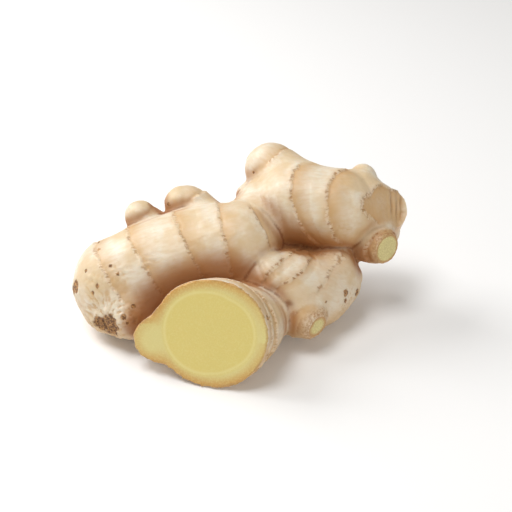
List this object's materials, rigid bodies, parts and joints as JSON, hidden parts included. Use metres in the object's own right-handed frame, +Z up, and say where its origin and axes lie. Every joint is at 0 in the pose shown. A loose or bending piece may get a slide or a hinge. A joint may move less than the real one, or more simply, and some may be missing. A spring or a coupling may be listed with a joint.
{
  "type": "ginger root",
  "caption": "Fresh ginger rhizome: fat ringed lobes with knobs, grown as one piece, with a thick finger and thin ones cut across to show yellow flesh, lying at rest.",
  "frame": {"origin": "middle of the root's bounding box, at the height of the table it lies on", "axes": "+X along its longest side, towards the raised cut finger; +Y away from the big cut face, towards the back knob; +Z up from the table"},
  "size_m": [0.136, 0.0978, 0.062],
  "materials": {
    "ginger_skin": "matte to satin pale beige skin with brown growth rings; matte yellow flesh on the cut faces"
  },
  "bodies": {
    "root": {"ginger_root": "ginger_skin"}
  },
  "joints": []
}
